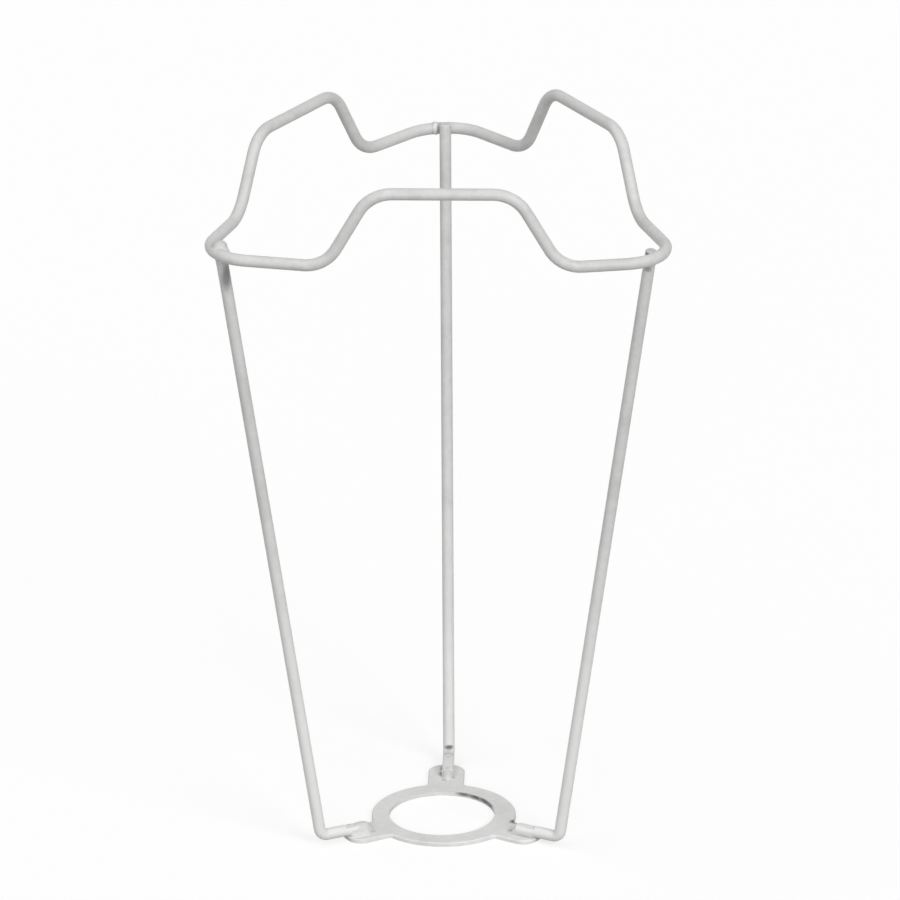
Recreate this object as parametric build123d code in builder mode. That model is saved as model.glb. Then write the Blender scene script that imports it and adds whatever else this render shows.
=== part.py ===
from build123d import *
import os
from math import cos, degrees, radians, sin

# Lamp shade carrier, in millimetres.
# A stamped ring slips over the lampholder, three wire arms rise from its tabs, and a closed wire bow
# joins the arms at the top. The shade's ring drops over the bow's humps and rests on its low lobes.
# Origin: centre of the ring's hole on its underside. +Z runs up the lampholder, +Y to the rear arm.

# Sizes shared by the whole carrier
overall_height = 199.5
wire_diameter = 3.2
arm_names = ["arm_rear", "arm_left", "arm_right"]
rear_arm_angle = 90.0

# Base ring, with a tab under each arm, longest under the rear one
hole_diameter = 29.0
ring_width = 5.3
plate_thickness = 1.2
plate_edge_chamfer = 0.25
tab_width = 10.0
tab_lengths = [13.2, 10.4, 10.4]
tab_corner_radius = 4.0
tab_root_radius = 1.5

# Bow, over one arm: the lobe's point, the low corners where the lobe starts, the humps' shoulders
hump_rise = 20.9
lobe_point_out = 75.0
lobe_bend_radius = 12.5
low_corner_out = 48.4
low_corner_across = 22.2
shoulder_out = 38.8
shoulder_across = 29.3
hump_bend_radius = 10.0

# Arms, with the foot of each bent inwards over its tab and pressed flat on top by the welder
foot_corner_out = 37.6
foot_corner_rise = 0.3
foot_bend_radius = 2.4
foot_end_gap = 4.4
foot_flat_depth = 0.45
arm_end_chamfer = 0.4

# Punching and bending left the plate, the front hump and the rear arm's foot off centre, all towards +X
plate_shift = 0.5
front_hump_shift = 2.4
rear_foot_shift = 0.9

# The left lobe came out short, and the hump after each arm lies under the tallest one or starts too high
left_lobe_shortfall = 2.4
hump_drops = [1.0, 0.2, 0.0]
low_corner_rises = [0.0, 0.0, 0.6]

# How far the welds let an arm into the bow, and a foot into its tab, and where each arm ends over the bow
bow_weld_sinks = [0.3, 1.85, 0.6]
foot_weld_sink = 0.3
arm_end_rises = [0.3, 1.0, -0.4]

# Weld bead where the two ends of the bow's wire meet, a little way from the rear arm
bead_offset = 2.8
bead_width = 1.5
bead_height = 0.25
bead_root = 0.1

# Sizes that follow from those above
wire_radius = wire_diameter / 2
hump_height = overall_height - wire_radius
lobe_height = hump_height - hump_rise
ring_outer_radius = hole_diameter / 2 + ring_width
tab_reaches = [ring_outer_radius + length for length in tab_lengths]
foot_end_out = ring_outer_radius + foot_end_gap
foot_height = plate_thickness + wire_radius - foot_weld_sink
foot_flat_height = foot_height + wire_radius - foot_flat_depth
arm_count = len(arm_names)
arm_step = 360 / arm_count
arm_angles = [rear_arm_angle + arm_step * number for number in range(arm_count)]

# For each arm: its lobe's point, its foot's place off centre, and the hump that follows counterclockwise
lobe_points_out = [lobe_point_out, lobe_point_out - left_lobe_shortfall, lobe_point_out]
foot_shifts = [-rear_foot_shift, 0, 0]
hump_shifts = [0, front_hump_shift, 0]
hump_heights = [hump_height - drop for drop in hump_drops]
low_corner_heights = [lobe_height + rise for rise in low_corner_rises]


def from_axis(angle, out, across, height):
    """Point set by a direction seen from above: outwards, across it counterclockwise, and up."""
    turn = radians(angle)
    return Vector(out * cos(turn) - across * sin(turn), out * sin(turn) + across * cos(turn), height)


os.makedirs("parts", exist_ok=True)

# Base ring: a flat stamping with a tab under each arm, punched a little off the middle
with BuildPart() as base_ring:
    with BuildSketch(Plane(origin=(plate_shift, 0, 0))) as plate_outline:
        for angle, tab_reach in zip(arm_angles, tab_reaches):
            with PolarLocations(0, 1, start_angle=angle):
                Rectangle(tab_reach, tab_width, align=(Align.MIN, Align.CENTER))
        tab_corners = plate_outline.vertices().sort_by(SortBy.DISTANCE)[-2 * arm_count:]
        fillet(tab_corners, tab_corner_radius)
        Circle(ring_outer_radius)
        tab_roots = plate_outline.vertices().group_by(SortBy.DISTANCE)[0]
        fillet(tab_roots, tab_root_radius)
    extrude(amount=plate_thickness)
    top_face = base_ring.faces().sort_by(Axis.Z)[-1]
    chamfer(top_face.edges(), plate_edge_chamfer)
    with BuildSketch() as lampholder_hole:
        Circle(hole_diameter / 2)
    extrude(amount=plate_thickness, mode=Mode.SUBTRACT)
base_ring.part.label = "base_ring"
export_step(base_ring.part, "parts/base_ring.step")

# Corners of the bow's wire, five for each lobe, counterclockwise
lobe_corners = []
for number, angle in enumerate(arm_angles):
    shift_before = from_axis(angle - arm_step / 2, 0, hump_shifts[number - 1], 0)
    shift_after = from_axis(angle + arm_step / 2, 0, hump_shifts[number], 0)
    lobe_corners.append([
        from_axis(angle, shoulder_out, -shoulder_across, hump_heights[number - 1]) + shift_before,
        from_axis(angle, low_corner_out, -low_corner_across, low_corner_heights[number - 1]) + shift_before,
        from_axis(angle, lobe_points_out[number], 0, lobe_height),
        from_axis(angle, low_corner_out, low_corner_across, low_corner_heights[number]) + shift_after,
        from_axis(angle, shoulder_out, shoulder_across, hump_heights[number]) + shift_after,
    ])
lobe_bends = [hump_bend_radius, hump_bend_radius, lobe_bend_radius, hump_bend_radius, hump_bend_radius]

# Centre of each lobe's rounded point, and the way from the point into the lobe
bend_centres = []
inward_ways = []
for first_shoulder, first_low, point, last_low, last_shoulder in lobe_corners:
    to_first = (first_low - point).normalized()
    to_last = (last_low - point).normalized()
    half_angle = radians(to_first.get_angle(to_last)) / 2
    inward = (to_first + to_last).normalized()
    inward_ways.append(inward)
    bend_centres.append(point + inward * (lobe_bend_radius / sin(half_angle)))

# Bow: one wire, lobe by lobe from the middle of a hump to the middle of the next
with BuildPart() as bow:
    for number, corners in enumerate(lobe_corners):
        next_corners = lobe_corners[(number + 1) % arm_count]
        lobe_start = (lobe_corners[number - 1][-1] + corners[0]) / 2
        lobe_end = (corners[-1] + next_corners[0]) / 2
        with BuildLine() as lobe_line:
            FilletPolyline(lobe_start, *corners, lobe_end, radius=lobe_bends)
        with BuildSketch(Plane(origin=lobe_start, z_dir=corners[0] - lobe_start)) as bow_section:
            Circle(wire_radius)
        sweep(path=lobe_line.wire())

    # Bead around the wire where its two ends are butt welded
    bead_turn = degrees(bead_offset / lobe_bend_radius)
    bead_outward = (inward_ways[0] * -lobe_bend_radius).rotate(Axis.Z, bead_turn)
    bead_along = bead_outward.rotate(Axis.Z, 90)
    bead_centre = bend_centres[0] + bead_outward
    with BuildSketch(Plane(origin=bead_centre, x_dir=bead_along, z_dir=bead_outward.cross(bead_along))):
        with BuildLine():
            bead_foot = Line(
                (-bead_width / 2, wire_radius - bead_root),
                (bead_width / 2, wire_radius - bead_root),
            )
            ThreePointArc(bead_foot @ 0, (0, wire_radius + bead_height), bead_foot @ 1)
        make_face()
    revolve(axis=Axis(bead_centre, bead_along))
bow.part.label = "bow"
export_step(bow.part, "parts/bow.step")

# Arms: straight down from inside a lobe to the foot that lies on the tab, coped to fit at both welds
for number, name in enumerate(arm_names):
    arm_to_bow = wire_diameter - bow_weld_sinks[number]
    bow_seat = bend_centres[number] - inward_ways[number] * (lobe_bend_radius - arm_to_bow)
    corner_height = foot_height + foot_corner_rise
    foot_corner = from_axis(arm_angles[number], foot_corner_out, foot_shifts[number], corner_height)
    foot_end = from_axis(arm_angles[number], foot_end_out, foot_shifts[number], foot_height)
    upward = bow_seat - foot_corner
    arm_top = bow_seat + upward * ((wire_radius + arm_end_rises[number]) / upward.Z)
    with BuildLine() as arm_line:
        FilletPolyline(arm_top, foot_corner, foot_end, radius=foot_bend_radius)
    with BuildPart() as arm:
        with BuildSketch(Plane(origin=arm_top, z_dir=-upward)) as arm_section:
            Circle(wire_radius)
        sweep(path=arm_line.wire())
        cut_ends = arm.faces().filter_by(GeomType.PLANE)
        chamfer(cut_ends.edges(), arm_end_chamfer)
        with BuildSketch(Plane.XY.offset(foot_flat_height)) as foot_flat:
            with PolarLocations(0, 1, start_angle=arm_angles[number]):
                Rectangle(tab_reaches[number], tab_width, align=(Align.MIN, Align.CENTER))
        extrude(amount=2 * wire_diameter, mode=Mode.SUBTRACT)
        add(bow.part, mode=Mode.SUBTRACT)
        add(base_ring.part, mode=Mode.SUBTRACT)
    arm.part.label = name
    export_step(arm.part, f"parts/{name}.step")
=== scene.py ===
"""Lamp shade carrier: painted finishes, weld beads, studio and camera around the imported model."""

import logging
import math
from dataclasses import dataclass, field
from enum import Enum

import bmesh
import bpy
from mathutils import Matrix, Vector


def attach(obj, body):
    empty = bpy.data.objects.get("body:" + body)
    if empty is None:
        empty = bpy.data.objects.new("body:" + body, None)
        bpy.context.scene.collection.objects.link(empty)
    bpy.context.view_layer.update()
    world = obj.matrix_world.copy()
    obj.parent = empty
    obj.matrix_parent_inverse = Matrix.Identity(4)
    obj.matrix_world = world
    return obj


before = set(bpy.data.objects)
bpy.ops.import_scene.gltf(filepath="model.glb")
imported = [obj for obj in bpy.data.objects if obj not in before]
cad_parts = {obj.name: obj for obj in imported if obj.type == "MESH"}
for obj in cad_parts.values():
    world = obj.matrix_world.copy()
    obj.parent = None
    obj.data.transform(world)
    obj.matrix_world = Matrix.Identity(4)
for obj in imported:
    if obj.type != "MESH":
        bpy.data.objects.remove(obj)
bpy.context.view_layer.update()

MM = 0.001
UP = Vector((0.0, 0.0, 1.0))
LOG = logging.getLogger("shade_carrier")

# A colour is linear red, green and blue, and a point is in millimetres in the carrier's own frame
Colour = tuple[float, float, float]
Point = tuple[float, float, float]
WHITE: Colour = (1.0, 1.0, 1.0)
BLACK: Colour = (0.0, 0.0, 0.0)


class Side(Enum):
    """The three arms, each with its angle seen from above, in degrees counterclockwise from +X."""

    REAR = 90.0
    LEFT = 210.0
    RIGHT = 330.0

    @property
    def node(self) -> str:
        """Name of the arm's node.

        Returns:
            The node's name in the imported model.
        """
        return f"arm_{self.name.lower()}"

    @property
    def outward(self) -> Vector:
        """Level direction from the lampholder's axis towards this arm.

        Returns:
            A unit vector.
        """
        turn = math.radians(self.value)
        return Vector((math.cos(turn), math.sin(turn), 0.0))


class NodeSheet:
    """Small helper that lays out the shader nodes of one material or world."""

    def __init__(self, owner: bpy.types.ID) -> None:
        """Empty the owner's node tree.

        Args:
            owner: Material or world whose nodes are built here.
        """
        owner.use_nodes = True
        self.tree = owner.node_tree
        self.tree.nodes.clear()

    def add(self, kind: str, **settings: object) -> bpy.types.Node:
        """Add a node and set its own properties.

        Args:
            kind: Node type, such as ShaderNodeTexNoise.
            **settings: Property names and values of the node.

        Returns:
            The new node.
        """
        node = self.tree.nodes.new(kind)
        for name, value in settings.items():
            setattr(node, name, value)
        return node

    def put(self, node: bpy.types.Node, **values: object) -> bpy.types.Node:
        """Set input sockets by name, with underscores for spaces.

        Args:
            node: Node whose sockets are set.
            **values: Socket names and values.

        Returns:
            The same node.
        """
        for name, value in values.items():
            node.inputs[name.replace("_", " ")].default_value = value
        return node

    def join(self, source: bpy.types.NodeSocket, target: bpy.types.NodeSocket) -> None:
        """Link two sockets.

        Args:
            source: Output socket.
            target: Input socket.
        """
        self.tree.links.new(source, target)

    def noise(
        self, place: bpy.types.NodeSocket, size: float, detail: float, rough: float
    ) -> bpy.types.Node:
        """Add a noise texture whose grain has a real size.

        Args:
            place: Socket with the surface point in metres.
            size: Width of one blotch in metres.
            detail: Number of finer layers.
            rough: Strength of the finer layers.

        Returns:
            The noise node.
        """
        node = self.add("ShaderNodeTexNoise")
        self.put(node, Scale=1.0 / size, Detail=detail, Roughness=rough)
        self.join(place, node.inputs["Vector"])
        return node

    def ramp(
        self, source: bpy.types.NodeSocket, stops: list[tuple[float, Colour]]
    ) -> bpy.types.Node:
        """Add a colour ramp.

        Args:
            source: Socket with the value that is looked up.
            stops: Position and colour of each stop, in order.

        Returns:
            The ramp node.
        """
        node = self.add("ShaderNodeValToRGB")
        band = node.color_ramp
        while len(band.elements) < len(stops):
            band.elements.new(0.5)
        for element, (position, colour) in zip(band.elements, stops):
            element.position = position
            element.color = (*colour, 1.0)
        self.join(source, node.inputs["Fac"])
        return node


@dataclass(frozen=True)
class Mark:
    """A dark, grey or pale mark at one place of the carrier, such as a burr, painted shade or a painted
    highlight, with a ragged edge.

    It is at full strength within the core and gone past the rim, both as shares of its reach.
    """

    place: Point
    reach: Point
    tone: float
    strength: float
    turn: float = 0.0
    core: float = 0.30
    rim: float = 1.25
    blue_share: float = 0.98

    def lay(
        self, sheet: NodeSheet, grain: bpy.types.NodeSocket, colour: bpy.types.NodeSocket
    ) -> bpy.types.NodeSocket:
        """Mix the mark into a finish.

        Args:
            sheet: Node sheet of the material.
            grain: Socket with the surface point, shaken a little by a noise.
            colour: Socket with the colour so far.

        Returns:
            Socket with the marked colour.
        """
        local = sheet.add("ShaderNodeMapping", vector_type="TEXTURE")
        sheet.put(
            local,
            Location=Vector(self.place) * MM,
            Rotation=(0.0, 0.0, math.radians(self.turn)),
            Scale=Vector(self.reach) * MM,
        )
        sheet.join(grain, local.inputs["Vector"])
        away = sheet.add("ShaderNodeVectorMath", operation="LENGTH")
        sheet.join(local.outputs["Vector"], away.inputs[0])
        fade = sheet.add("ShaderNodeMapRange", interpolation_type="SMOOTHSTEP")
        sheet.put(fade, From_Min=self.rim, From_Max=self.core, To_Max=self.strength)
        sheet.join(away.outputs["Value"], fade.inputs["Value"])
        marked = sheet.add("ShaderNodeMix", data_type="RGBA")
        sheet.join(fade.outputs["Result"], marked.inputs["Factor"])
        sheet.join(colour, marked.inputs["A"])
        marked.inputs["B"].default_value = (self.tone, self.tone, self.tone * self.blue_share, 1.0)
        return marked.outputs["Result"]


@dataclass(frozen=True)
class PaintFinish:
    """Pale satin paint, mottled a little, with an orange-peel skin and a few dull specks."""

    name: str
    marks: tuple[Mark, ...] = ()
    clean: Colour = (0.665, 0.665, 0.660)
    thin: Colour = (0.580, 0.580, 0.570)
    clean_level: float = 0.52
    thin_level: float = 0.30
    mottle_size: float = 16 * MM
    cloud: Colour = (0.93, 0.93, 0.92)
    cloud_level: float = 0.34
    clear_level: float = 0.60
    cloud_size: float = 2.2 * MM
    speck: Colour = (0.380, 0.370, 0.350)
    speck_cover: float = 0.7
    speck_level: float = 0.84
    speck_edge: float = 0.03
    speck_size: float = 1.5 * MM
    peel_size: float = 0.55 * MM
    peel_height: float = 0.012 * MM
    wave_size: float = 4.5 * MM
    wave_height: float = 0.05 * MM
    shake_size: float = 1.1 * MM
    shake_reach: float = 0.5 * MM
    patch_size: float = 9.6 * MM
    gloss_roughness: float = 0.34
    dull_roughness: float = 0.52
    specular_level: float = 0.25
    coat_weight: float = 0.04
    coat_roughness: float = 0.25

    def material(self) -> bpy.types.Material:
        """Build the finish.

        Returns:
            The new material.
        """
        material = bpy.data.materials.new(self.name)
        sheet = NodeSheet(material)
        place = sheet.add("ShaderNodeTexCoord").outputs["Object"]
        surface = sheet.add("ShaderNodeBsdfPrincipled")
        sheet.put(
            surface,
            Specular_IOR_Level=self.specular_level,
            Coat_Weight=self.coat_weight,
            Coat_Roughness=self.coat_roughness,
        )
        sheet.join(self._colour(sheet, place), surface.inputs["Base Color"])
        sheet.join(self._roughness(sheet, place), surface.inputs["Roughness"])
        sheet.join(self._relief(sheet, place), surface.inputs["Normal"])
        output = sheet.add("ShaderNodeOutputMaterial")
        sheet.join(surface.outputs["BSDF"], output.inputs["Surface"])
        return material

    def _colour(self, sheet: NodeSheet, place: bpy.types.NodeSocket) -> bpy.types.NodeSocket:
        """Mottled paint with specks.

        Args:
            sheet: Node sheet of the material.
            place: Socket with the surface point.

        Returns:
            Socket with the colour.
        """
        mottle = sheet.noise(place, self.mottle_size, detail=4.0, rough=0.6)
        mottle_stops = [(self.thin_level, self.thin), (self.clean_level, self.clean)]
        paint = sheet.ramp(mottle.outputs["Fac"], mottle_stops)
        fine = sheet.noise(place, self.cloud_size, detail=3.0, rough=0.7)
        cloud = sheet.ramp(fine.outputs["Fac"], [(self.cloud_level, self.cloud), (self.clear_level, WHITE)])
        shaded = sheet.add("ShaderNodeMix", data_type="RGBA", blend_type="MULTIPLY")
        sheet.put(shaded, Factor=1.0)
        sheet.join(paint.outputs["Color"], shaded.inputs["A"])
        sheet.join(cloud.outputs["Color"], shaded.inputs["B"])
        dots = sheet.noise(place, self.speck_size, detail=1.0, rough=0.4)
        speck_stop = (self.speck_level + self.speck_edge, (self.speck_cover,) * 3)
        mask = sheet.ramp(dots.outputs["Fac"], [(self.speck_level, BLACK), speck_stop])
        specked = sheet.add("ShaderNodeMix", data_type="RGBA")
        sheet.join(mask.outputs["Color"], specked.inputs["Factor"])
        sheet.join(shaded.outputs["Result"], specked.inputs["A"])
        specked.inputs["B"].default_value = (*self.speck, 1.0)
        colour = specked.outputs["Result"]
        grain = self._grain(sheet, place)
        for mark in self.marks:
            colour = mark.lay(sheet, grain, colour)
        return colour

    def _grain(self, sheet: NodeSheet, place: bpy.types.NodeSocket) -> bpy.types.NodeSocket:
        """Surface point shaken by a fine noise, which makes the edges of the marks ragged.

        Args:
            sheet: Node sheet of the material.
            place: Socket with the surface point.

        Returns:
            Socket with the shaken point.
        """
        shake = sheet.noise(place, self.shake_size, detail=2.0, rough=0.6)
        spread = sheet.add("ShaderNodeVectorMath", operation="MULTIPLY_ADD")
        sheet.join(shake.outputs["Color"], spread.inputs[0])
        spread.inputs[1].default_value = (self.shake_reach,) * 3
        spread.inputs[2].default_value = (-self.shake_reach / 2,) * 3
        shaken = sheet.add("ShaderNodeVectorMath", operation="ADD")
        sheet.join(place, shaken.inputs[0])
        sheet.join(spread.outputs["Vector"], shaken.inputs[1])
        return shaken.outputs["Vector"]

    def _roughness(self, sheet: NodeSheet, place: bpy.types.NodeSocket) -> bpy.types.NodeSocket:
        """Glossier and duller patches.

        Args:
            sheet: Node sheet of the material.
            place: Socket with the surface point.

        Returns:
            Socket with the roughness.
        """
        patches = sheet.noise(place, self.patch_size, detail=3.0, rough=0.6)
        spread = sheet.add("ShaderNodeMapRange")
        sheet.put(spread, To_Min=self.gloss_roughness, To_Max=self.dull_roughness)
        sheet.join(patches.outputs["Fac"], spread.inputs["Value"])
        return spread.outputs["Result"]

    def _relief(self, sheet: NodeSheet, place: bpy.types.NodeSocket) -> bpy.types.NodeSocket:
        """Orange peel over slow waves in the paint.

        Args:
            sheet: Node sheet of the material.
            place: Socket with the surface point.

        Returns:
            Socket with the surface direction.
        """
        wave = sheet.noise(place, self.wave_size, detail=2.0, rough=0.5)
        slow = sheet.add("ShaderNodeBump")
        sheet.put(slow, Distance=self.wave_height)
        sheet.join(wave.outputs["Fac"], slow.inputs["Height"])
        peel = sheet.noise(place, self.peel_size, detail=2.0, rough=0.5)
        skin = sheet.add("ShaderNodeBump")
        sheet.put(skin, Distance=self.peel_height)
        sheet.join(peel.outputs["Fac"], skin.inputs["Height"])
        sheet.join(slow.outputs["Normal"], skin.inputs["Normal"])
        return skin.outputs["Normal"]


def dress(node: str, material: bpy.types.Material) -> None:
    """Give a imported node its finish.

    Args:
        node: Name of the node.
        material: Finish for every material slot of the node.
    """
    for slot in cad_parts[node].material_slots:
        slot.material = material
    LOG.info("%s: finished in %s", node, material.name)


def corners(node: str) -> list[Vector]:
    """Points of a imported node's mesh.

    Args:
        node: Name of the node.

    Returns:
        The points, in metres.
    """
    return [vertex.co.copy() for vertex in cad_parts[node].data.vertices]


def middle(points: list[Vector]) -> Vector:
    """Mean of some points.

    Args:
        points: The points.

    Returns:
        Their mean.
    """
    return sum(points, Vector()) / len(points)


@dataclass
class Blend:
    """Rounded metal in the corner between two pieces, made by melting short stubs of both together."""

    name: str
    grain: float = 0.16 * MM
    flow: float = 0.5
    flow_rounds: int = 40
    rod_sides: int = 32
    ball_rounds: int = 3
    overlap: float = 0.15
    shapes: bmesh.types.BMesh = field(default_factory=bmesh.new)

    def rod(self, start: Vector, end: Vector, radius: float) -> None:
        """Add a round stub.

        Args:
            start: Centre of one end.
            end: Centre of the other end.
            radius: Radius of the stub.
        """
        along = end - start
        turn = along.to_track_quat("Z", "Y").to_matrix().to_4x4()
        place = Matrix.Translation((start + end) / 2) @ turn
        bmesh.ops.create_cone(
            self.shapes,
            cap_ends=True,
            segments=self.rod_sides,
            radius1=radius,
            radius2=radius,
            depth=along.length,
            matrix=place,
        )

    def capsule(self, start: Vector, end: Vector, radius: float) -> None:
        """Add a stub with round ends.

        Args:
            start: Centre of one end.
            end: Centre of the other end.
            radius: Radius of the stub and its ends.
        """
        self.rod(start, end, radius)
        for centre in (start, end):
            bmesh.ops.create_icosphere(
                self.shapes,
                subdivisions=self.ball_rounds,
                radius=radius,
                matrix=Matrix.Translation(centre),
            )

    def bent_rod(self, points: list[Vector], radius: float) -> None:
        """Add a bent stub as a row of overlapping short ones.

        Args:
            points: Centre line of the stub.
            radius: Radius of the stub.
        """
        for start, end in zip(points, points[1:]):
            reach = (end - start) * self.overlap
            self.rod(start - reach, end + reach, radius)

    def slab(self, centre: Vector, size: Vector, turn: float) -> None:
        """Add a flat stub.

        Args:
            centre: Centre of the slab.
            size: Its length, width and thickness.
            turn: Its angle seen from above, in degrees.
        """
        place = Matrix.LocRotScale(centre, Matrix.Rotation(math.radians(turn), 3, "Z"), size)
        bmesh.ops.create_cube(self.shapes, size=1.0, matrix=place)

    def piece(self, material: bpy.types.Material) -> bpy.types.Object:
        """Melt the stubs together and make the piece.

        Args:
            material: Finish of the piece.

        Returns:
            The new object, riding on the root body.
        """
        mesh = bpy.data.meshes.new(self.name)
        self.shapes.to_mesh(mesh)
        self.shapes.free()
        rough = bpy.data.objects.new(self.name, mesh)
        bpy.context.scene.collection.objects.link(rough)
        remesh = rough.modifiers.new("melt", "REMESH")
        remesh.mode = "VOXEL"
        remesh.voxel_size = self.grain
        smooth = rough.modifiers.new("flow", "SMOOTH")
        smooth.factor = self.flow
        smooth.iterations = self.flow_rounds
        bpy.context.view_layer.update()
        graph = bpy.context.evaluated_depsgraph_get()
        melted = bpy.data.meshes.new_from_object(rough.evaluated_get(graph))
        rough.modifiers.clear()
        rough.data = melted
        melted.materials.clear()
        melted.materials.append(material)
        for face in melted.polygons:
            face.use_smooth = True
        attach(rough, "root")
        LOG.info("%s: %d faces", self.name, len(melted.polygons))
        return rough


@dataclass(frozen=True)
class Filler:
    """Short rod of filler metal, in millimetres along an arm's own ways: outwards, across and up."""

    start: Point
    stop: Point
    radius: float

    def lay(self, blend: Blend, side: Side, origin: Vector) -> None:
        """Add the filler to a weld.

        Args:
            blend: The weld.
            side: Arm whose ways are used.
            origin: Point that the filler is measured from.
        """
        across = UP.cross(side.outward)
        ends = [
            origin + (side.outward * out + across * aside + UP * rise) * MM
            for out, aside, rise in (self.start, self.stop)
        ]
        blend.capsule(ends[0], ends[1], self.radius * MM)


@dataclass
class Wirework:
    """Sizes and places of the wire that the welds need.

    The stub is how far a top weld follows the bow to each side of a lobe's tip. The radius of its stubs is
    the wire's less the shrink, so that the wire hides them.
    """

    wire_radius: float = 1.6 * MM
    lobe_bend_radius: float = 12.5 * MM
    lobe_height: float = 177.0 * MM
    stub: float = 2.6 * MM
    stub_steps: int = 4
    shrink: float = 0.02 * MM
    end_depth: float = 1.2 * MM
    heel_bottom: float = 5 * MM
    heel_top: float = 9 * MM

    def lobe_tip(self, side: Side) -> Vector:
        """Centre of the bow's wire at the lobe over one arm.

        Args:
            side: The arm.

        Returns:
            The point.
        """
        reach = max(point.dot(side.outward) for point in corners("bow"))
        return side.outward * (reach - self.wire_radius) + UP * self.lobe_height

    def lobe_stub(self, side: Side) -> list[Vector]:
        """Centre line of the bow's wire around a lobe's tip.

        Args:
            side: The arm.

        Returns:
            Points along the bend.
        """
        centre = self.lobe_tip(side) - side.outward * self.lobe_bend_radius
        spread = self.stub / self.lobe_bend_radius
        points = []
        for step in range(-self.stub_steps, self.stub_steps + 1):
            turn = Matrix.Rotation(spread * step / self.stub_steps, 3, "Z")
            points.append(centre + turn @ side.outward * self.lobe_bend_radius)
        return points

    def arm_end(self, side: Side) -> Vector:
        """Centre of an arm's cut top end.

        Args:
            side: The arm.

        Returns:
            The point.
        """
        points = corners(side.node)
        top = max(point.z for point in points)
        return middle([point for point in points if point.z > top - self.end_depth])

    def arm_heel(self, side: Side) -> Vector:
        """Centre of an arm just over the bend at its foot.

        Args:
            side: The arm.

        Returns:
            The point.
        """
        points = corners(side.node)
        return middle([point for point in points if self.heel_bottom < point.z < self.heel_top])


@dataclass
class Bow:
    """The closed top wire with its three humps and three lobes."""

    finish: bpy.types.Material

    def build(self) -> None:
        """Finish the bow."""
        dress("bow", self.finish)


@dataclass
class BaseRing:
    """The stamped ring that slips over the lampholder."""

    finish: bpy.types.Material

    def build(self) -> None:
        """Finish the base ring."""
        dress("base_ring", self.finish)


@dataclass(frozen=True)
class WeldPlan:
    """Filler metal at both ends of one arm, and how its foot lies on the tab.

    The stop is measured outwards from the lampholder's axis, and aside is counterclockwise from above.
    """

    side: Side
    top_fillers: tuple[Filler, ...] = ()
    foot_fillers: tuple[Filler, ...] = ()
    foot_aside: float = 0.0
    foot_stop: float = 29.3 * MM


@dataclass
class Arm:
    """One straight arm with its foot, and the weld at each end.

    The foot's weld is a stub within the foot, on a flat bed within the tab, with filler around them.
    """

    plan: WeldPlan
    finish: bpy.types.Material
    top_finish: bpy.types.Material
    foot_finish: bpy.types.Material
    wire: Wirework = field(default_factory=Wirework)
    stub_gap: float = 0.4 * MM
    stub_reach: float = 6.5 * MM
    foot_start: float = 24.5 * MM
    foot_height: float = 2.05 * MM
    foot_radius: float = 1.55 * MM
    plate_top: float = 1.2 * MM
    bed_thickness: float = 1.0 * MM
    bed_width: float = 5.2 * MM
    bed_lead: float = 4.5 * MM

    def build(self) -> None:
        """Finish the arm and make both welds."""
        dress(self.plan.side.node, self.finish)
        self.top_weld()
        self.foot_weld()

    def top_weld(self) -> bpy.types.Object:
        """Weld between the arm's end and the bow.

        Returns:
            The weld's object.
        """
        side = self.plan.side
        end = self.wire.arm_end(side)
        down = (self.wire.arm_heel(side) - end).normalized()
        radius = self.wire.wire_radius - self.wire.shrink
        blend = Blend(f"weld_{side.name.lower()}")
        blend.bent_rod(self.wire.lobe_stub(side), radius)
        blend.rod(end + down * self.stub_gap, end + down * self.stub_reach, radius)
        for filler in self.plan.top_fillers:
            filler.lay(blend, side, self.wire.lobe_tip(side))
        return blend.piece(self.top_finish)

    def foot_weld(self) -> bpy.types.Object:
        """Weld between the arm's foot and the tab.

        Returns:
            The weld's object.
        """
        side = self.plan.side
        outward = side.outward
        aside = UP.cross(outward) * self.plan.foot_aside
        blend = Blend(f"foot_weld_{side.name.lower()}")
        start = outward * self.foot_start + aside + UP * self.foot_height
        stop = outward * self.plan.foot_stop + aside + UP * self.foot_height
        blend.rod(start, stop, self.foot_radius)
        bed_start = self.foot_start - self.bed_lead
        bed_centre = outward * ((bed_start + self.plan.foot_stop) / 2) + aside
        bed_centre.z = self.plate_top - self.wire.shrink - self.bed_thickness / 2
        bed_size = Vector((self.plan.foot_stop - bed_start, self.bed_width, self.bed_thickness))
        blend.slab(bed_centre, bed_size, side.value)
        for filler in self.plan.foot_fillers:
            filler.lay(blend, side, aside)
        return blend.piece(self.foot_finish)


@dataclass(frozen=True)
class Lamp:
    """One wide soft studio lamp, so far off that it lights the whole floor alike."""

    name: str
    azimuth: float
    elevation: float
    spread: float
    level: float

    def build(self) -> None:
        """Hang the lamp; its level is the brightness that it gives a white surface facing it."""
        data = bpy.data.lights.new(self.name, "SUN")
        data.angle = math.radians(self.spread)
        data.energy = self.level * math.pi
        lamp = bpy.data.objects.new(self.name, data)
        turn, rise = math.radians(self.azimuth), math.radians(self.elevation)
        level = Vector((math.sin(turn), -math.cos(turn), 0.0))
        away = level * math.cos(rise) + UP * math.sin(rise)
        lamp.location = away
        lamp.rotation_euler = away.to_track_quat("Z", "Y").to_euler()
        bpy.context.scene.collection.objects.link(lamp)
        LOG.info("lamp %s: level %.2f", self.name, self.level)


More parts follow.
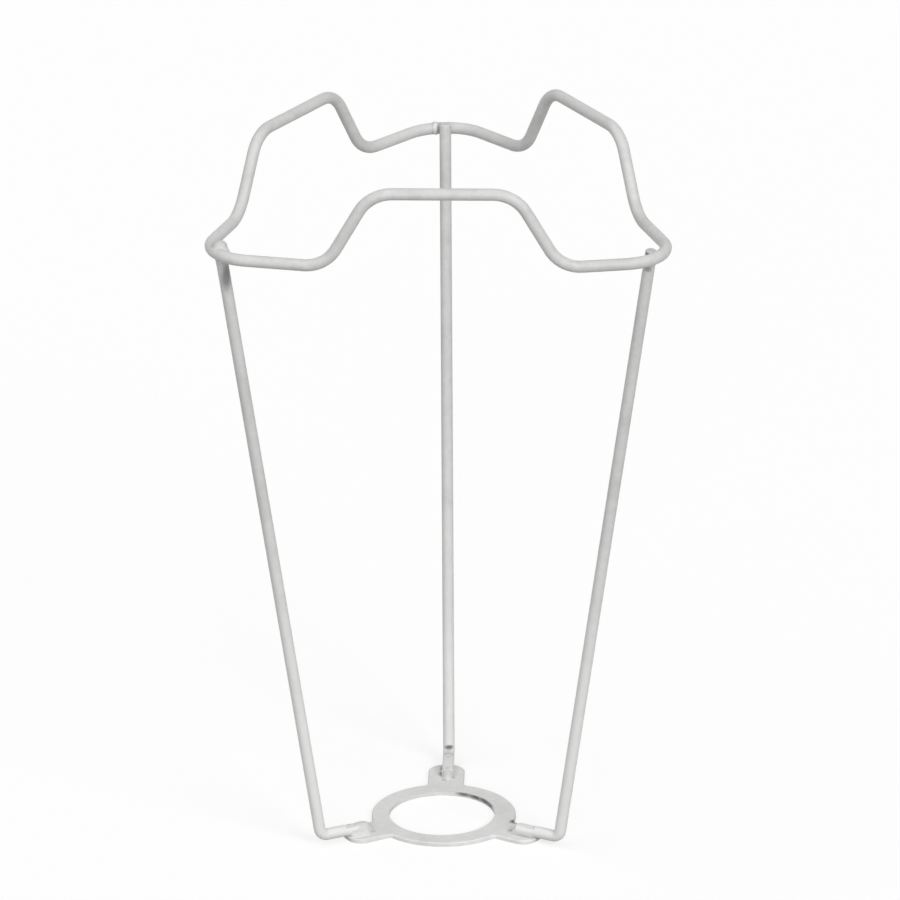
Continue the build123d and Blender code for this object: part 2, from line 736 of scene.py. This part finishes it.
@dataclass
class Studio:
    """White floor, white surround and soft lamps."""

    floor_radius: float = 6.0
    floor_sides: int = 96
    floor_colour: Colour = (0.32, 0.32, 0.32)
    floor_lift: float = 0.72
    surround: float = 0.30
    lamps: tuple[Lamp, ...] = (
        Lamp("key", azimuth=38.0, elevation=32.0, spread=30.0, level=0.46),
        Lamp("side", azimuth=-74.0, elevation=58.0, spread=60.0, level=0.24),
        Lamp("front", azimuth=-4.0, elevation=18.0, spread=30.0, level=0.29),
    )

    def build(self) -> None:
        """Make the floor, the surround and the lamps."""
        self.floor()
        self.world()
        for lamp in self.lamps:
            lamp.build()

    def floor(self) -> None:
        """Lay the floor, which the camera sees lighter than the lamps make it."""
        shape = bmesh.new()
        bmesh.ops.create_circle(shape, cap_ends=True, segments=self.floor_sides, radius=self.floor_radius)
        mesh = bpy.data.meshes.new("studio_floor")
        shape.to_mesh(mesh)
        shape.free()
        floor = bpy.data.objects.new("studio_floor", mesh)
        bpy.context.scene.collection.objects.link(floor)
        material = bpy.data.materials.new("floor_white")
        sheet = NodeSheet(material)
        matt = sheet.add("ShaderNodeBsdfDiffuse")
        matt.inputs["Color"].default_value = (*self.floor_colour, 1.0)
        glow = sheet.add("ShaderNodeEmission")
        seen = self.seen(sheet)
        amount = sheet.add("ShaderNodeMath", operation="MULTIPLY")
        sheet.join(seen, amount.inputs[0])
        amount.inputs[1].default_value = self.floor_lift
        sheet.join(amount.outputs[0], glow.inputs["Strength"])
        both = sheet.add("ShaderNodeAddShader")
        sheet.join(matt.outputs[0], both.inputs[0])
        sheet.join(glow.outputs[0], both.inputs[1])
        output = sheet.add("ShaderNodeOutputMaterial")
        sheet.join(both.outputs[0], output.inputs["Surface"])
        mesh.materials.append(material)

    def seen(self, sheet: NodeSheet) -> bpy.types.NodeSocket:
        """Value that is 1 for what the camera, a reflection or a clear surface sees.

        Args:
            sheet: Node sheet that gets the nodes.

        Returns:
            Socket with the value.
        """
        path = sheet.add("ShaderNodeLightPath")
        total = path.outputs["Is Camera Ray"]
        for name in ("Is Glossy Ray", "Is Transmission Ray"):
            either = sheet.add("ShaderNodeMath", operation="MAXIMUM")
            sheet.join(total, either.inputs[0])
            sheet.join(path.outputs[name], either.inputs[1])
            total = either.outputs[0]
        return total

    def world(self) -> None:
        """Surround that looks white and lights softly."""
        world = bpy.data.worlds.new("surround")
        bpy.context.scene.world = world
        sheet = NodeSheet(world)
        soft = sheet.add("ShaderNodeBackground")
        sheet.put(soft, Strength=self.surround)
        soft.inputs["Color"].default_value = (*WHITE, 1.0)
        white = sheet.add("ShaderNodeBackground")
        white.inputs["Color"].default_value = (*WHITE, 1.0)
        choice = sheet.add("ShaderNodeMixShader")
        sheet.join(self.seen(sheet), choice.inputs[0])
        sheet.join(soft.outputs[0], choice.inputs[1])
        sheet.join(white.outputs[0], choice.inputs[2])
        output = sheet.add("ShaderNodeOutputWorld")
        sheet.join(choice.outputs[0], output.inputs["Surface"])


@dataclass(frozen=True)
class PhotoCamera:
    """Camera fitted to the photograph's view.

    Lengths are in metres and the sensor is in millimetres. The scale is the image's pixels for each metre,
    at the point that the camera looks at.
    """

    image_size: float = 900.0
    sensor: float = 36.0
    scale: float = 3704.0
    distance: float = 2.0374
    look_at: tuple[float, float, float] = (0.002738, 0.0, 0.108627)
    azimuth: float = -1.679
    elevation: float = 21.496
    roll: float = -0.300
    clip_end: float = 50.0

    def build(self) -> None:
        """Make the camera and use it."""
        turn, rise = math.radians(self.azimuth), math.radians(self.elevation)
        level = Vector((math.sin(turn), math.cos(turn), 0.0))
        forward = level * math.cos(rise) - UP * math.sin(rise)
        right = forward.cross(UP).normalized()
        upward = right.cross(forward)
        lean = math.radians(self.roll)
        across = right * math.cos(lean) + upward * math.sin(lean)
        above = upward * math.cos(lean) - right * math.sin(lean)
        data = bpy.data.cameras.new("photo_camera")
        data.sensor_width = self.sensor
        data.lens = self.scale * self.distance / self.image_size * self.sensor
        data.clip_end = self.clip_end
        camera = bpy.data.objects.new("photo_camera", data)
        turned = Matrix((across, above, -forward)).transposed().to_4x4()
        camera.matrix_world = Matrix.Translation(Vector(self.look_at) - forward * self.distance) @ turned
        bpy.context.scene.collection.objects.link(camera)
        bpy.context.scene.camera = camera
        LOG.info("camera: lens %.1f mm", data.lens)


# Painted light: the arms are painted paler towards their feet, where more light falls on them
PAINTED_LOW_LIGHT = Mark((0.0, -20.0, 0.0), (200.0, 120.0, 100.0), tone=0.90, strength=0.60)

# Marks on the carrier, most of them painted shade, painted shadows and painted highlights
MARKS_AND_PAINTED_LIGHT = (
    # Rear foot: painted shade in the crease of its bend, painted shadows beside it and at its end, and its
    # dull end
    Mark((1.0, 36.1, 5.0), (1.8, 1.3, 0.75), tone=0.12, strength=0.95),
    Mark((-1.0, 30.4, 1.4), (0.5, 1.9, 0.7), tone=0.22, strength=0.70),
    Mark((-0.9, 26.6, 1.5), (0.9, 2.0, 1.0), tone=0.20, strength=0.80),
    Mark((1.6, 23.9, 1.3), (1.6, 0.7, 0.6), tone=0.25, strength=0.60),
    Mark((0.0, 22.4, 1.2), (0.9, 1.0, 0.5), tone=0.35, strength=0.40),
    Mark((0.9, 33.7, 3.8), (1.9, 1.6, 0.9), tone=0.40, strength=0.55),
    Mark((0.9, 24.0, 2.4), (2.0, 2.0, 1.8), tone=0.40, strength=0.50),
    # Left foot: painted shade inside its bend and in the crevice where it leaves the tab, and a painted
    # shadow at its end
    Mark((-31.8, -18.0, 5.3), (0.7, 1.0, 0.7), tone=0.25, strength=0.70),
    Mark((-25.3, -13.4, 3.3), (0.9, 0.7, 0.6), tone=0.20, strength=0.70),
    Mark((-18.6, -12.4, 1.2), (1.2, 1.0, 0.6), tone=0.35, strength=0.40),
    # Wall of the hole, with painted shade at the rear right
    Mark((5.7, 13.4, 0.9), (2.8, 0.5, 0.7), tone=0.10, strength=0.85, turn=-23.0),
    Mark((9.0, 11.5, 0.9), (2.8, 0.5, 0.7), tone=0.08, strength=0.90, turn=-38.0),
    Mark((11.6, 8.9, 0.9), (2.8, 0.5, 0.7), tone=0.08, strength=0.90, turn=-52.0),
    Mark((13.1, 6.3, 0.9), (2.6, 0.5, 0.7), tone=0.12, strength=0.80, turn=-64.0),
    # Right foot: dark spots at its root and tip, a painted shadow at its end, painted shade along its lower
    # side and a painted highlight along its top
    Mark((20.2, -5.3, 0.9), (1.7, 1.6, 1.6), tone=0.05, strength=0.95),
    Mark((19.1, -11.2, 1.2), (1.2, 0.9, 0.6), tone=0.28, strength=0.55),
    Mark((26.2, -15.2, 1.4), (0.9, 0.9, 0.8), tone=0.12, strength=0.80),
    Mark((22.7, -15.1, 1.3), (4.8, 0.6, 0.5), tone=0.20, strength=0.55, turn=-30.0),
    Mark((23.1, -15.0, 3.2), (4.8, 0.7, 0.6), tone=0.88, strength=0.60, turn=-30.0),
    # Left joint: painted shadow of the bow on the arm under it, and the grey weld
    Mark((-54.9, -33.4, 170.3), (1.6, 1.5, 4.3), tone=0.16, strength=0.80),
    Mark((-56.2, -31.6, 178.8), (3.0, 3.0, 2.2), tone=0.40, strength=0.60),
    # Right joint: painted shade on the arm under the bow, a burr, and the grey end
    Mark((56.0, -33.8, 173.3), (1.2, 1.3, 1.0), tone=0.20, strength=0.65),
    Mark((55.6, -34.1, 177.5), (0.8, 0.9, 0.8), tone=0.15, strength=0.80),
    Mark((56.7, -32.9, 178.5), (2.0, 2.0, 1.0), tone=0.38, strength=0.50),
    # Bead of the bow's butt weld, painted only: a painted highlight on its crest and painted shade on each
    # side
    Mark((-2.8, 67.6, 177.0), (0.5, 2.8, 2.8), tone=0.88, strength=0.80),
    Mark((-3.55, 67.6, 177.0), (0.4, 2.8, 2.8), tone=0.32, strength=0.50),
    Mark((-1.65, 67.2, 177.0), (0.6, 2.8, 2.6), tone=0.25, strength=0.50),
)

WIRE_FINISH = PaintFinish("wire_paint", MARKS_AND_PAINTED_LIGHT)
ARM_FINISH = PaintFinish(
    "arm_paint", (PAINTED_LOW_LIGHT, *MARKS_AND_PAINTED_LIGHT), clean=(0.655, 0.655, 0.650), thin=(0.580, 0.580, 0.570)
)
PLATE_FINISH = PaintFinish(
    "plate_paint",
    MARKS_AND_PAINTED_LIGHT,
    clean=(0.790, 0.790, 0.785),
    thin=(0.710, 0.710, 0.700),
    wave_height=0.02 * MM,
    gloss_roughness=0.52,
    dull_roughness=0.66,
)
TOP_WELD_FINISH = PaintFinish("top_weld_paint", MARKS_AND_PAINTED_LIGHT, wave_size=1.6 * MM, wave_height=0.03 * MM)
FOOT_WELD_FINISH = PaintFinish(
    "foot_weld_paint",
    MARKS_AND_PAINTED_LIGHT,
    clean=(0.725, 0.725, 0.720),
    thin=(0.645, 0.645, 0.635),
    wave_size=1.6 * MM,
    wave_height=0.02 * MM,
)

# Top fillers start from the bow's wire at the lobe's tip, and foot fillers from the lampholder's axis
WELD_PLANS = (
    WeldPlan(
        Side.REAR,
        foot_fillers=(
            Filler((25.6, 0.0, 2.2), (24.7, 0.0, 2.1), 1.65),
            Filler((24.6, 0.0, 1.8), (24.1, 0.0, 1.65), 1.4),
            Filler((24.1, 0.0, 1.3), (23.2, 0.0, 1.1), 0.9),
        ),
        foot_aside=-0.9 * MM,
        foot_stop=32.0 * MM,
    ),
    WeldPlan(
        Side.LEFT,
        top_fillers=(
            Filler((-1.0, -0.3, 1.2), (-1.4, 0.0, 1.4), 1.90),
            Filler((-1.5, -1.3, 0.8), (-1.9, 0.3, 0.8), 1.35),
            Filler((-1.8, 0.4, 0.7), (-2.1, 1.4, 0.2), 1.30),
        ),
        foot_fillers=(
            Filler((26.2, 0.0, 2.35), (24.3, 0.0, 2.3), 1.8),
            Filler((24.3, 0.0, 1.9), (23.5, 0.0, 1.7), 1.5),
            Filler((23.5, 0.0, 1.3), (22.5, 0.0, 1.1), 0.9),
            Filler((24.5, 1.5, 1.5), (28.3, 1.5, 1.5), 1.2),
            Filler((24.5, -1.5, 1.5), (28.3, -1.5, 1.5), 1.2),
            Filler((24.3, 2.5, 1.1), (27.8, 2.5, 1.1), 0.8),
            Filler((24.3, -2.5, 1.1), (27.8, -2.5, 1.1), 0.8),
        ),
    ),
    WeldPlan(Side.RIGHT, foot_fillers=(Filler((25.4, 0.0, 1.9), (24.2, 0.0, 1.6), 1.4),)),
)


def main() -> None:
    """Dress the carrier, then set up the studio and the camera."""
    logging.basicConfig(level=logging.INFO, format="%(message)s")
    bpy.context.scene.view_settings.view_transform = "Standard"
    wire_paint = WIRE_FINISH.material()
    arm_paint = ARM_FINISH.material()
    plate_paint = PLATE_FINISH.material()
    top_weld_paint = TOP_WELD_FINISH.material()
    foot_weld_paint = FOOT_WELD_FINISH.material()
    BaseRing(plate_paint).build()
    Bow(wire_paint).build()
    for plan in WELD_PLANS:
        Arm(plan, arm_paint, top_weld_paint, foot_weld_paint).build()
    Studio().build()
    PhotoCamera().build()


if __name__ == "__main__":
    main()
